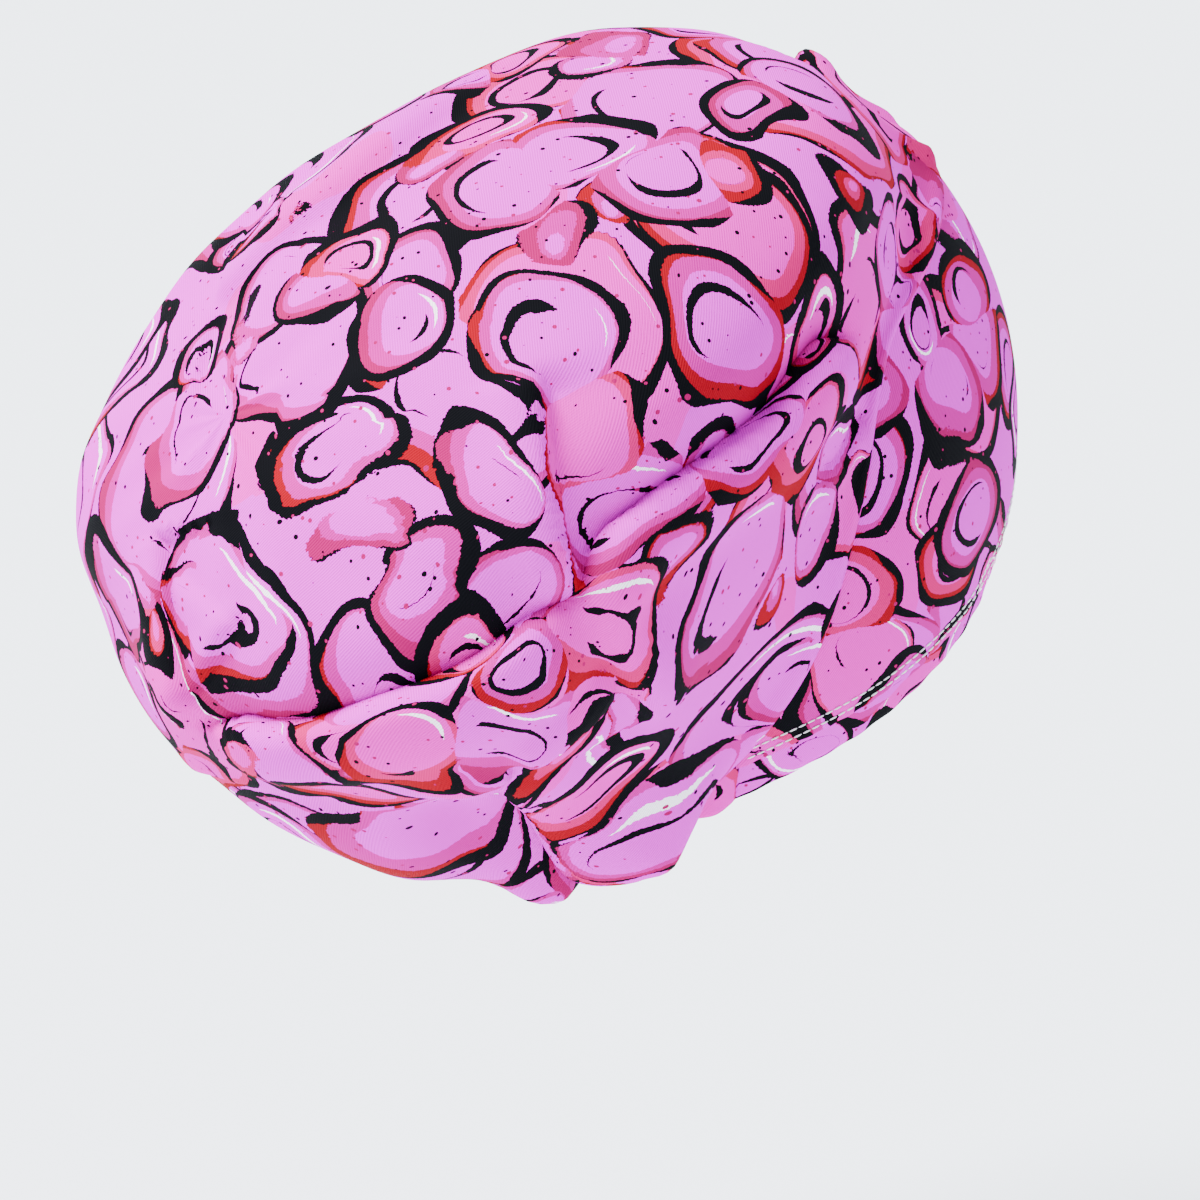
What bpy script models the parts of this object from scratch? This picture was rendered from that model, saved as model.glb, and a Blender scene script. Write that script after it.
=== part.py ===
# Scrub cap: a forehead band, a stitched edge strip, a gathered nape casing and a full, puffed crown.
# Units are metres. +Z is up, the forehead faces -Y, and the wearer's right hand is towards -X.
# The origin is the middle of the head opening, where a head holds the cap.

import bmesh
import bpy
import math
import numpy as np

# Head opening
HEAD_LENGTH = 0.193
HEAD_WIDTH = 0.152
FOREHEAD_LEVEL = 0.040
NAPE_DROP = 0.102

# Seam loop, the slanted oval where the crown is sewn to the band and the casing
LOOP_HEIGHT = 0.250
LOOP_WIDTH = 0.158
LOOP_SLANT = math.radians(36.0)
LOOP_BACK = 0.0215
LOOP_RISE = 0.0445

# Crown. The sections keep the loop's oval up to ROUND_END, and are squarer from there on. The
# lean of the loop dies out by LEAN_END, and the crown has left the wall by SEAM_END.
BAG_DEPTH = 0.160
CORNER_POWER = 2.25
ROUND_END = 0.30
LEAN_END = 0.35
SEAM_END = 0.08
FOLD_START = 0.03
POLE_REACH = 0.05

# Band, strip and casing
BAND_END_ANGLE = 122.0
BAND_BOW = 0.012
BOW_SPAN = 0.105
STRIP_WIDTH = 0.0125
TUCK = 0.004
LEAST_BAND = 0.010
CASING_RIPPLE = 0.0012
CASING_GATHERS = 15
CASING_CLEARANCE_ANGLE = 0.6

# Walls and gaps
CROWN_WALL = 0.0015
BAND_WALL = 0.0016
STRIP_WALL = 0.0012
CASING_WALL = 0.0020
GAP = 0.0006
SEAM_GAP = 0.0008

# Grids: steps round the head, steps from seam to pole or up the wall, and crowding to the nape
CROWN_STEPS = (80, 28)
BAND_STEPS = (44, 7)
STRIP_STEPS = (44, 2)
CASING_STEPS = (60, 3)
NAPE_CROWDING = 24.0

# Fall of the lower edge: angle from the forehead, share of NAPE_DROP
RIM_FALL = (
    (0, 0.00),
    (30, 0.08),
    (60, 0.34),
    (90, 0.54),
    (125, 0.73),
    (160, 0.97),
    (180, 1.02),
)

# Lean of the seam loop out of its plane: angle from the forehead, share of LOOP_HEIGHT
LOOP_LEAN = (
    (0, -0.02),
    (25, -0.02),
    (45, 0.03),
    (65, 0.09),
    (85, 0.04),
    (105, -0.02),
    (125, -0.03),
    (142, -0.01),
    (160, 0.01),
    (180, 0.03),
)

# Sections of the crown from the seam to the pole at its back end:
# station, distance out as a share of BAG_DEPTH, half width as a share of LOOP_WIDTH,
# reach above and below the axis as shares of LOOP_HEIGHT
SECTIONS = (
    (0.00, 0.000, 0.500, 0.500, 0.500),
    (0.10, 0.085, 0.520, 0.495, 0.525),
    (0.22, 0.240, 0.585, 0.496, 0.555),
    (0.36, 0.430, 0.655, 0.454, 0.580),
    (0.50, 0.610, 0.675, 0.345, 0.570),
    (0.64, 0.775, 0.615, 0.220, 0.535),
    (0.78, 0.905, 0.465, 0.070, 0.450),
    (0.90, 0.977, 0.240, -0.070, 0.340),
    (1.00, 1.000, 0.000, -0.200, 0.200),
)

# Broad swells and hollows of the crown:
# name, angle, station, push as a share of BAG_DEPTH, spread in degrees, spread in stations
SWELLS = (
    ("right lobe behind the ear", 137, 0.10, 0.150, 13, 0.10),
    ("small lobe under the gathers", 153, 0.12, 0.090, 7, 0.08),
    ("left lobe over the nape", 166, 0.22, 0.035, 11, 0.14),
    ("far lobe over the nape", 203, 0.18, 0.050, 14, 0.13),
    ("hollow above the gathers", 147, 0.32, -0.070, 8, 0.12),
    ("flat lower back", 160, 0.52, -0.045, 22, 0.12),
    ("corner knob", 178, 0.72, 0.030, 9, 0.06),
    ("flat back left", 205, 0.68, -0.045, 22, 0.11),
    ("flat top rear", 300, 0.80, -0.050, 26, 0.10),
    ("flat far shoulder", 318, 0.62, -0.020, 22, 0.12),
    ("flat flank", 118, 0.82, -0.020, 30, 0.08),
    ("hollow under the fold", 97, 0.44, -0.030, 10, 0.08),
)

# Folds of the crown. A drop lowers the cloth on the side of the rim, a lip swells the side of
# the pole, and a pleat runs from the seam. Widths and heights are shares of BAG_DEPTH, and each
# path is a list of (angle, station).
FOLDS = (
    ("diagonal fold", 0.065, 0.035, 0.100,
     ((66, 0.27), (74, 0.35), (81, 0.40), (86, 0.47), (90, 0.54), (95, 0.59), (99, 0.60))),
    ("lower fold", 0.070, 0.030, 0.120,
     ((93, 0.57), (103, 0.58), (115, 0.62), (132, 0.67), (151, 0.68), (166, 0.68), (180, 0.71))),
    ("back crease", 0.040, 0.012, 0.090,
     ((172, 0.69), (178, 0.76), (184, 0.84), (196, 0.89))),
    ("flank crease", 0.022, 0.014, 0.110,
     ((97, 0.58), (90, 0.63), (82, 0.69), (73, 0.72), (58, 0.74))),
    ("shoulder ridge", 0.036, 0.024, 0.150,
     ((300, 0.84), (318, 0.84), (334, 0.80), (346, 0.72), (346, 0.58), (343, 0.48))),
    ("lobe ridge", 0.030, 0.025, 0.110,
     ((97, 0.55), (104, 0.47), (109, 0.38), (116, 0.26))),
    ("leaf fold", 0.040, 0.022, 0.060,
     ((127, 0.46), (121, 0.44), (115, 0.42), (108, 0.42))),
    ("flap over the gathers", 0.110, 0.020, 0.100,
     ((127, 0.46), (130, 0.38), (135, 0.27), (142, 0.16), (147, 0.08))),
    ("flap on the nape side", 0.080, 0.015, 0.100,
     ((152, 0.08), (147, 0.18), (140, 0.30), (133, 0.42), (127, 0.47))),
)

# Cross section of every fold, as shares of its own width: the softness of the step, the place
# and spread of the lip, and the share of the path over which a fold rises from nothing
STEP_SOFTNESS = 0.15
LIP_PLACE = 0.35
LIP_SPREAD = 0.55
PATH_RISE = 0.18
PATH_POINTS = 60

# Pleats of the crown at the top of the forehead: angle, length in stations, and height and
# half width as shares of BAG_DEPTH
PLEATS = (
    (6, 0.30, 0.030, 0.075),
    (22, 0.26, 0.030, 0.075),
    (39, 0.22, 0.028, 0.070),
    (338, 0.26, 0.030, 0.075),
    (321, 0.22, 0.028, 0.070),
)
PLEAT_CREST = 0.35
PLEAT_FADE = 1.3

# Gathers of the crown at the nape: angle, depth as a share of BAG_DEPTH, half width in degrees
GATHERS = (
    (132, 0.018, 3.0),
    (139, 0.022, 2.6),
    (145, 0.032, 2.4),
    (150, 0.045, 2.6),
    (155, 0.030, 2.4),
    (162, 0.018, 2.8),
    (171, 0.016, 3.2),
    (181, 0.022, 3.4),
    (192, 0.020, 3.4),
    (203, 0.024, 3.2),
    (214, 0.020, 3.2),
    (225, 0.018, 3.0),
)
GATHER_REACH = 0.16
GATHER_WIDENING = 4.0

# Small steps for measuring a surface's direction, in degrees and stations
ANGLE_STEP = 0.5
STATION_STEP = 0.004


# Surfaces

def through(rows, column, at, flat_start=False, flat_end=False):
    """Smooth curve through one column of a table, read at the places in the first column."""
    places = np.array([row[0] for row in rows], dtype=float)
    values = np.array([row[column] for row in rows], dtype=float)
    slopes = np.gradient(values, places)
    if flat_start:
        slopes[0] = 0.0
    if flat_end:
        slopes[-1] = 0.0
    at = np.clip(at, places[0], places[-1])
    span = np.clip(np.searchsorted(places, at, side="right") - 1, 0, len(places) - 2)
    width = places[span + 1] - places[span]
    f = (at - places[span]) / width
    rise = (2 * f ** 3 - 3 * f ** 2 + 1) * values[span] + (3 * f ** 2 - 2 * f ** 3) * values[span + 1]
    bend = (f ** 3 - 2 * f ** 2 + f) * slopes[span] + (f ** 3 - f ** 2) * slopes[span + 1]
    return rise + bend * width


def fading(place, end):
    """1 at place 0, falling to 0 at place end."""
    return np.clip(1 - place / end, 0, 1)


def bell(distance, width):
    return np.exp(-(distance / width) ** 2)


def turn_between(angle, centre):
    return (angle - centre + 180.0) % 360.0 - 180.0


def mirrored(angle):
    """Angle from the forehead on either side, 0 to 180."""
    return np.abs(turn_between(angle, 0.0))


def vectors(x, y, z):
    return np.stack(np.broadcast_arrays(x, y, z), axis=-1)


AXIS_OUT = np.array([0.0, math.cos(LOOP_SLANT), math.sin(LOOP_SLANT)])
AXIS_UP = np.array([0.0, -math.sin(LOOP_SLANT), math.cos(LOOP_SLANT)])
LOOP_CENTRE = np.array([0.0, LOOP_BACK, LOOP_RISE])


def rim_point(angle):
    turn = np.radians(angle)
    level = FOREHEAD_LEVEL - NAPE_DROP * through(RIM_FALL, 1, mirrored(angle), True, True)
    return vectors(-HEAD_WIDTH / 2 * np.sin(turn), -HEAD_LENGTH / 2 * np.cos(turn), level)


def loop_lean(angle):
    return LOOP_HEIGHT * through(LOOP_LEAN, 1, mirrored(angle), True, True)


def slanted(side, up, out):
    """Point in the slanted frame of the seam loop."""
    return LOOP_CENTRE + up[..., None] * AXIS_UP + out[..., None] * AXIS_OUT + vectors(-side, 0.0, 0.0)


def loop_point(angle):
    turn = np.radians(angle)
    return slanted(LOOP_WIDTH / 2 * np.sin(turn), LOOP_HEIGHT / 2 * np.cos(turn), loop_lean(angle))


def outward(angle):
    turn = np.radians(angle)
    return vectors(-np.sin(turn), -np.cos(turn), 0.0)


def wall_point(angle, height, offset):
    """Point of the wall between the lower edge and the seam loop.

    height is the distance up from the lower edge, and offset the distance out from the wall.
    """
    low = rim_point(angle)
    high = loop_point(angle)
    span = np.linalg.norm(high - low, axis=-1)
    share = height / span
    rise = (high - low) / span[..., None]
    away = outward(angle)
    away = away - rise * np.sum(away * rise, axis=-1, keepdims=True)
    away = away / np.linalg.norm(away, axis=-1, keepdims=True)
    bow = BAND_BOW * np.clip(span / BOW_SPAN, 0, 1) ** 2 * 4 * share * (1 - share)
    return low + rise * height[..., None] + away * (bow + offset)[..., None]


def wall_height(angle):
    return np.linalg.norm(loop_point(angle) - rim_point(angle), axis=-1)


def signed_power(value, power):
    return np.sign(value) * np.abs(value) ** power


def crown_form(angle, station):
    """Crown without its folds."""
    turn = np.radians(angle)
    out = BAG_DEPTH * through(SECTIONS, 1, station, False, True)
    side = LOOP_WIDTH * through(SECTIONS, 2, station)
    top = LOOP_HEIGHT * through(SECTIONS, 3, station)
    bottom = LOOP_HEIGHT * through(SECTIONS, 4, station)
    power = 2 / (2 + (CORNER_POWER - 2) * np.clip(station / ROUND_END, 0, 1))
    up = (top - bottom) / 2 + (top + bottom) / 2 * signed_power(np.cos(turn), power)
    lean = loop_lean(angle) * fading(station, LEAN_END) ** 2
    free = slanted(side * signed_power(np.sin(turn), power), up, out + lean)
    edge = wall_point(angle, wall_height(angle) - TUCK, CROWN_WALL + SEAM_GAP + 0 * station)
    hold = fading(station, SEAM_END)[..., None] ** 2
    return free + (edge - loop_point(angle)) * hold


def normals(angle, station):
    """Outward normals of the crown's form, by small steps along both of its directions."""
    station = np.clip(station, 0, 1 - 2 * STATION_STEP)
    before = np.maximum(station - STATION_STEP, 0)
    along = crown_form(angle + ANGLE_STEP, station) - crown_form(angle - ANGLE_STEP, station)
    away = crown_form(angle, station + STATION_STEP) - crown_form(angle, before)
    normal = np.cross(away, along)
    return normal / np.linalg.norm(normal, axis=-1, keepdims=True)


def path_points(path):
    """Angles and stations evenly spaced along a fold's path, with their shares of its length."""
    corners = np.array(path, dtype=float)
    steps = np.hypot(np.radians(np.diff(corners[:, 0])), np.diff(corners[:, 1]))
    places = np.concatenate(([0.0], np.cumsum(steps)))
    rows = [(place, corner[0], corner[1]) for place, corner in zip(places, corners)]
    at = np.linspace(0.0, places[-1], PATH_POINTS)
    return through(rows, 1, at), through(rows, 2, at), at / places[-1]


def fold_shift(points, fold):
    """Move of each point by one fold: down on the side of the rim, and out on the other side."""
    name, drop, lip, width, path = fold
    width = width * BAG_DEPTH
    angles, stations, places = path_points(path)
    line = crown_form(angles, stations)
    normal = normals(angles, stations)
    tangent = np.gradient(line, axis=0)
    tangent /= np.linalg.norm(tangent, axis=-1, keepdims=True)
    across = np.cross(normal, tangent)
    nearest = np.linalg.norm(points[:, None, :] - line[None, :, :], axis=-1).argmin(axis=1)
    offset = points - line[nearest]
    side = np.einsum("ij,ij->i", offset, across[nearest])
    past = np.sqrt(np.maximum(np.sum(offset ** 2, axis=-1) - side ** 2, 0.0))
    ends = np.clip(np.minimum(places[nearest], 1 - places[nearest]) / PATH_RISE, 0, 1)
    ends = ends * ends * (3 - 2 * ends) * bell(past, width)
    step = 0.5 - 0.5 * np.tanh(side / (2 * STEP_SOFTNESS * width))
    low = drop * step * np.exp(-np.maximum(-side, 0.0) / width)
    high = lip * bell(side - width * LIP_PLACE, width * LIP_SPREAD)
    return normal[nearest] * (BAG_DEPTH * (high - low) * ends)[:, None]


def crown_surface(angle, station):
    """Crown with its swells, folds, pleats and gathers."""
    points = crown_form(angle, station)
    normal = normals(angle, station)
    push = np.zeros(len(angle))
    for name, centre, place, height, spread, reach in SWELLS:
        push += height * bell(turn_between(angle, centre), spread) * bell(station - place, reach)
    for centre, length, height, half_width in PLEATS:
        across = np.radians(turn_between(angle, centre)) * LOOP_HEIGHT / 2
        skew = across / (half_width * BAG_DEPTH)
        rise = np.where(skew <= 0, np.clip(1 + skew, 0, 1) ** 2, bell(skew, PLEAT_CREST))
        push += height * rise * fading(station, length) ** PLEAT_FADE
    for centre, depth, half_width in GATHERS:
        width = half_width * (1 + GATHER_WIDENING * station)
        push -= depth * bell(turn_between(angle, centre), width) * bell(station, GATHER_REACH)
    shift = normal * (BAG_DEPTH * push)[:, None]
    for fold in FOLDS:
        shift = shift + fold_shift(points, fold)
    free = np.clip(station / FOLD_START, 0, 1) * np.clip((1 - station) / POLE_REACH, 0, 1)
    return points + shift * free[:, None]


# Objects

def cloth_material(name, colour, roughness):
    material = bpy.data.materials.new(name)
    material.use_nodes = True
    shader = material.node_tree.nodes["Principled BSDF"]
    shader.inputs["Base Color"].default_value = (*colour, 1.0)
    shader.inputs["Roughness"].default_value = roughness
    shader.inputs["Metallic"].default_value = 0.0
    return material


def sheet(name, steps, place, wall, material, collection):
    """Cloth wall from a flat grid: place gives the points for shares 0 to 1 along both sides."""
    shape = bmesh.new()
    bmesh.ops.create_grid(shape, x_segments=steps[0], y_segments=steps[1], size=1.0)
    shares = np.array([(vertex.co.x, vertex.co.y) for vertex in shape.verts]) / 2 + 0.5
    points = place(shares[:, 0], shares[:, 1])
    for vertex, point in zip(shape.verts, points):
        vertex.co = point
    bmesh.ops.remove_doubles(shape, verts=shape.verts[:], dist=1e-5)
    mesh = bpy.data.meshes.new(name)
    shape.to_mesh(mesh)
    shape.free()
    mesh.materials.append(material)
    mesh.shade_smooth()
    item = bpy.data.objects.new(name, mesh)
    collection.objects.link(item)
    solid = item.modifiers.new("wall", "SOLIDIFY")
    solid.thickness = wall
    solid.offset = -1.0
    return item


def crown_place(round_share, out_share):
    angle = 360.0 * round_share + NAPE_CROWDING * np.sin(2 * math.pi * round_share)
    return crown_surface(angle, out_share)


def band_place(along, up):
    angle = BAND_END_ANGLE * (1 - 2 * along)
    height = np.maximum(wall_height(angle) - STRIP_WIDTH, LEAST_BAND)
    return wall_point(angle, STRIP_WIDTH + height * up, 0 * up)


def strip_place(along, up):
    angle = BAND_END_ANGLE * (1 - 2 * along)
    return wall_point(angle, (STRIP_WIDTH + TUCK) * up, -(BAND_WALL + GAP) + 0 * up)


def casing_place(along, up):
    start = BAND_END_ANGLE + CASING_CLEARANCE_ANGLE
    angle = start + (360.0 - 2 * start) * (1 - along)
    ripple = CASING_RIPPLE * (np.sin(2 * math.pi * CASING_GATHERS * along) - 1) * (1 - up)
    return wall_point(angle, wall_height(angle) * up, ripple)


def main():
    for item in list(bpy.data.objects):
        bpy.data.objects.remove(item)
    collection = bpy.data.collections.new("scrub_cap")
    bpy.context.scene.collection.children.link(collection)
    print_pink = cloth_material("printed_twill", (0.90, 0.30, 0.72), 0.85)
    strip_pink = cloth_material("printed_strip", (0.92, 0.25, 0.50), 0.85)
    casing_pink = cloth_material("gathered_twill", (0.85, 0.22, 0.55), 0.85)
    sheet("crown", CROWN_STEPS, crown_place, CROWN_WALL, print_pink, collection)
    sheet("front_band", BAND_STEPS, band_place, BAND_WALL, print_pink, collection)
    sheet("brim_strip", STRIP_STEPS, strip_place, STRIP_WALL, strip_pink, collection)
    sheet("nape_casing", CASING_STEPS, casing_place, CASING_WALL, casing_pink, collection)


main()
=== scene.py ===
# Looks of the scrub cap: printed twill crown, forehead band, stitched edge strip and nape casing.
# Units are metres, in the row's own frame: +Z up, the forehead faces -Y, right hand towards -X.

import math

import bmesh
import bpy
import numpy as np
from mathutils import Matrix, Vector

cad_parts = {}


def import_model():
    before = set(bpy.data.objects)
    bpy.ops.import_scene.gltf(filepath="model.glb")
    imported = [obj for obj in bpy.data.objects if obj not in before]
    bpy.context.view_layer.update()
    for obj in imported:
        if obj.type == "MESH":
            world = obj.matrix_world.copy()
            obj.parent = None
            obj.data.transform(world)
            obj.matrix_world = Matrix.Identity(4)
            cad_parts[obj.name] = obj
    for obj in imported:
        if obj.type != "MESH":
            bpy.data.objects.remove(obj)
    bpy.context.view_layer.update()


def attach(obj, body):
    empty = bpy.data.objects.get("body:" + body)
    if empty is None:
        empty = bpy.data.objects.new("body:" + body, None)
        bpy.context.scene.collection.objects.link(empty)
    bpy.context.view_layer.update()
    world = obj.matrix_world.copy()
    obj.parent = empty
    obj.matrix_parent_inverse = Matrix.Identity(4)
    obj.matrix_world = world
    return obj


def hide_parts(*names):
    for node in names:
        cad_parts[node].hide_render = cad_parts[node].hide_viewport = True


BODY = "root"

# Head opening
HEAD_LENGTH = 0.193
HEAD_WIDTH = 0.152
FOREHEAD_LEVEL = 0.040
NAPE_DROP = 0.102

# Seam loop, the slanted oval where the crown is sewn to the band and the casing
LOOP_HEIGHT = 0.250
LOOP_WIDTH = 0.158
LOOP_SLANT = math.radians(36.0)
LOOP_BACK = 0.0215
LOOP_RISE = 0.0445

# Crown. The sections keep the loop's oval up to ROUND_END, and are squarer from there on. The
# lean of the loop dies out by LEAN_END, and the crown has left the wall by SEAM_END.
BAG_DEPTH = 0.160
CORNER_POWER = 2.25
ROUND_END = 0.30
LEAN_END = 0.35
SEAM_END = 0.08
FOLD_START = 0.03
POLE_REACH = 0.05

# Band, strip and casing
BAND_END_ANGLE = 122.0
BAND_BOW = 0.012
BOW_SPAN = 0.105
STRIP_WIDTH = 0.0125
TUCK = 0.004
LEAST_BAND = 0.010
CASING_RIPPLE = 0.0012
CASING_GATHERS = 15
CASING_TUCK_ANGLE = 1.5
CASING_TUCK_DEPTH = 0.0030

# Walls and gaps. In a sharp crease a wall is held to MOST_WALL times its thickness.
CLOTH_WALL = 0.0010
CASING_WALL = 0.0016
MOST_WALL = 1.5
GAP = 0.0006
SEAM_GAP = 0.0008
CROWN_OFFSET = 0.0015 + SEAM_GAP
STRIP_OFFSET = 0.0016 + GAP

# Grids: steps round the head, steps from seam to pole or up the wall, and crowding to the nape
CROWN_STEPS = (300, 148)
BAND_STEPS = (260, 64)
STRIP_STEPS = (260, 10)
CASING_STEPS = (300, 14)
NAPE_CROWDING = 24.0

# Fall of the lower edge: angle from the forehead, share of NAPE_DROP
RIM_FALL = (
    (0, 0.00),
    (30, 0.08),
    (60, 0.34),
    (90, 0.54),
    (125, 0.73),
    (160, 0.97),
    (180, 1.02),
)

# Lean of the seam loop out of its plane: angle from the forehead, share of LOOP_HEIGHT
LOOP_LEAN = (
    (0, -0.02),
    (25, -0.02),
    (45, 0.03),
    (65, 0.09),
    (85, 0.04),
    (105, -0.02),
    (125, -0.03),
    (142, -0.01),
    (160, 0.01),
    (180, 0.03),
)

# Sections of the crown from the seam to the pole at its back end:
# station, distance out as a share of BAG_DEPTH, half width as a share of LOOP_WIDTH,
# reach above and below the axis as shares of LOOP_HEIGHT
SECTIONS = (
    (0.00, 0.000, 0.500, 0.500, 0.500),
    (0.10, 0.085, 0.520, 0.495, 0.525),
    (0.22, 0.240, 0.585, 0.496, 0.555),
    (0.36, 0.430, 0.655, 0.454, 0.580),
    (0.50, 0.610, 0.675, 0.345, 0.570),
    (0.64, 0.775, 0.615, 0.220, 0.535),
    (0.78, 0.905, 0.465, 0.070, 0.450),
    (0.90, 0.977, 0.240, -0.070, 0.340),
    (1.00, 1.000, 0.000, -0.200, 0.200),
)

# Broad swells and hollows of the crown:
# name, angle, station, push as a share of BAG_DEPTH, spread in degrees, spread in stations
SWELLS = (
    ("right lobe behind the ear", 137, 0.10, 0.150, 13, 0.10),
    ("small lobe under the gathers", 153, 0.12, 0.090, 7, 0.08),
    ("left lobe over the nape", 166, 0.22, 0.035, 11, 0.14),
    ("far lobe over the nape", 203, 0.18, 0.050, 14, 0.13),
    ("hollow above the gathers", 147, 0.32, -0.070, 8, 0.12),
    ("flat lower back", 160, 0.52, -0.045, 22, 0.12),
    ("corner knob", 178, 0.72, 0.030, 9, 0.06),
    ("flat back left", 205, 0.68, -0.045, 22, 0.11),
    ("flat top rear", 300, 0.80, -0.050, 26, 0.10),
    ("flat far shoulder", 318, 0.62, -0.020, 22, 0.12),
    ("flat flank", 118, 0.82, -0.020, 30, 0.08),
    ("hollow under the fold", 97, 0.44, -0.030, 10, 0.08),
)

# Folds of the crown: name, drop on the right of the path, lip on its left and width as shares of
# BAG_DEPTH, share of the drop by which the lip hangs over it, path of (angle, station)
FOLDS = (
    ("diagonal fold", 0.085, 0.030, 0.090, 0.8,
     ((66, 0.22), (74, 0.30), (81, 0.35), (86, 0.42), (90, 0.49), (95, 0.54), (99, 0.55))),
    ("lower fold", 0.090, 0.030, 0.100, 0.8,
     ((93, 0.53), (103, 0.54), (115, 0.57), (132, 0.62), (151, 0.63), (166, 0.64), (180, 0.67))),
    ("back crease", 0.040, 0.012, 0.090, 0.6,
     ((172, 0.69), (178, 0.76), (184, 0.84), (196, 0.89))),
    ("flank crease", 0.048, 0.022, 0.090, 0.4,
     ((98, 0.55), (93, 0.61), (87, 0.66), (77, 0.70), (60, 0.73))),
    ("shoulder ridge", 0.036, 0.024, 0.150, 0.2,
     ((300, 0.84), (318, 0.84), (334, 0.80), (346, 0.72), (346, 0.58), (343, 0.48))),
    ("lobe ridge", 0.030, 0.025, 0.110, 0.3,
     ((97, 0.55), (104, 0.47), (109, 0.38), (116, 0.26))),
    ("leaf fold", 0.040, 0.022, 0.060, 0.8,
     ((127, 0.46), (121, 0.44), (115, 0.42), (108, 0.42))),
    ("flap over the gathers", 0.110, 0.020, 0.100, 0.6,
     ((127, 0.46), (130, 0.38), (135, 0.27), (142, 0.16), (147, 0.08))),
    ("flap on the nape side", 0.080, 0.015, 0.100, 0.6,
     ((152, 0.08), (147, 0.18), (140, 0.30), (133, 0.42), (127, 0.47))),
    ("tuck at the seam", 0.022, 0.010, 0.050, 0.6,
     ((74, 0.005), (77, 0.06), (82, 0.14), (86, 0.22))),
    ("top pocket", 0.040, 0.020, 0.060, 0.8,
     ((352, 0.02), (356, 0.10), (2, 0.18), (12, 0.25))),
    ("short crease on the back", 0.012, 0.006, 0.060, 0.2,
     ((150, 0.80), (165, 0.84), (185, 0.86))),
    ("crease over the corner", 0.012, 0.008, 0.050, 0.3,
     ((182, 0.60), (176, 0.70), (166, 0.78), (150, 0.84))),
    ("crease on the lower back", 0.014, 0.008, 0.060, 0.2,
     ((196, 0.44), (184, 0.50), (170, 0.52), (158, 0.50))),
)

# Cross section of every fold, as shares of its own width: the softness of the step, the place
# and spread of the lip, and the share of the path over which a fold rises from nothing
STEP_SOFTNESS = 0.07
LIP_PLACE = 0.35
LIP_SPREAD = 0.55
OVERHANG_PLACE = 0.10
OVERHANG_SPREAD = 0.32
PATH_RISE = 0.18
PATH_POINTS = 90

# Cloth that a fold hides, as a multiple of its drop, the width over which the print breaks there,
# and how far away the print is moved by it
HIDDEN_SHARE = 2.2
HIDDEN_STEP = 0.0022
HIDDEN_FADE = 0.055
HIDDEN_REACH = 0.110
PRINT_PLACE = "print_place"

# Pleats of the crown at the top of the forehead: angle, length in stations, and height and
# half width as shares of BAG_DEPTH
PLEATS = (
    (6, 0.30, 0.030, 0.075),
    (22, 0.26, 0.030, 0.075),
    (39, 0.22, 0.028, 0.070),
    (338, 0.26, 0.030, 0.075),
    (321, 0.22, 0.028, 0.070),
)
PLEAT_CREST = 0.22
PLEAT_FADE = 1.3

# Gathers of the crown at the nape: angle, depth as a share of BAG_DEPTH, half width in degrees
GATHERS = (
    (132, 0.018, 3.0),
    (139, 0.030, 2.2),
    (144, 0.045, 2.1),
    (148.5, 0.058, 2.0),
    (153, 0.048, 2.0),
    (157.5, 0.034, 2.1),
    (163, 0.022, 2.6),
    (171, 0.016, 3.2),
    (181, 0.022, 3.4),
    (192, 0.020, 3.4),
    (203, 0.024, 3.2),
    (214, 0.020, 3.2),
    (225, 0.018, 3.0),
)
GATHER_REACH = 0.16
GATHER_WIDENING = 4.0

# Slow waves of the worn cloth: waves round the head, waves from seam to pole, phase, height
WAVES = (
    (5, 1.6, 0.4, 0.0007),
    (9, 2.7, 1.9, 0.0005),
    (14, 3.9, 4.2, 0.0004),
)
SEAM_ROLL = 0.0007
SEAM_ROLL_PLACE = 0.012

# Small steps for measuring a surface's direction, in degrees and stations
ANGLE_STEP = 0.5
STATION_STEP = 0.004

# Stitches: rows above the lower edge of the band, pitch, length and thickness of a stitch, and
# how far they stand out
STITCH_ROWS = (0.0022, 0.0050)
STITCH_PITCH = 0.0030
STITCH_LENGTH = 0.0026
STITCH_THICKNESS = 0.00030
STITCH_OUT = CLOTH_WALL + 0.0001

# Puckers of the band: height, stitches from one to the next on the band and on the edge strip,
# distance over which they fade, and half width of the groove under a row of stitches
PUCKER = 0.00025
PUCKER_STITCHES = 2.3
EDGE_PUCKER_STITCHES = 4.1
PUCKER_FADE = 0.008
GROOVE_HALF_WIDTH = 0.0007

# Print: sizes of the motifs in metres
INK_HALF_WIDTH = 0.0026
INK_ROUGHNESS = 0.0007
CRESCENT_WIDTH = 0.0052
HALO_WIDTH = 0.0022
HALO_DARK_WIDTH = 0.0080
GLINT_PLACE = 0.0050
GLINT_HALF_WIDTH = 0.00075
GLINT_END = -0.0003
BEND_REACH = 0.030
SPECK_GRID = 0.0027
LIT_SIDE = (-0.55, -0.20, 0.81)

# Print: how loosely the motifs are laid, least and greatest radius as shares of a cell, place of
# the inner line as a share of the radius, and where lines taper off near a neighbour or a slope
CELL_SCATTER = 0.75
MOTIF_REACH = (0.36, 0.60)
INNER_PLACE = 0.52
INNER_SHARE = 0.85
BORDER_FADE = (0.01, 0.14)
SLOPE_FADE = (0.30, 0.60)
LEAST_SLOPE = 0.002
LINE_SHARE = 0.55

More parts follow.
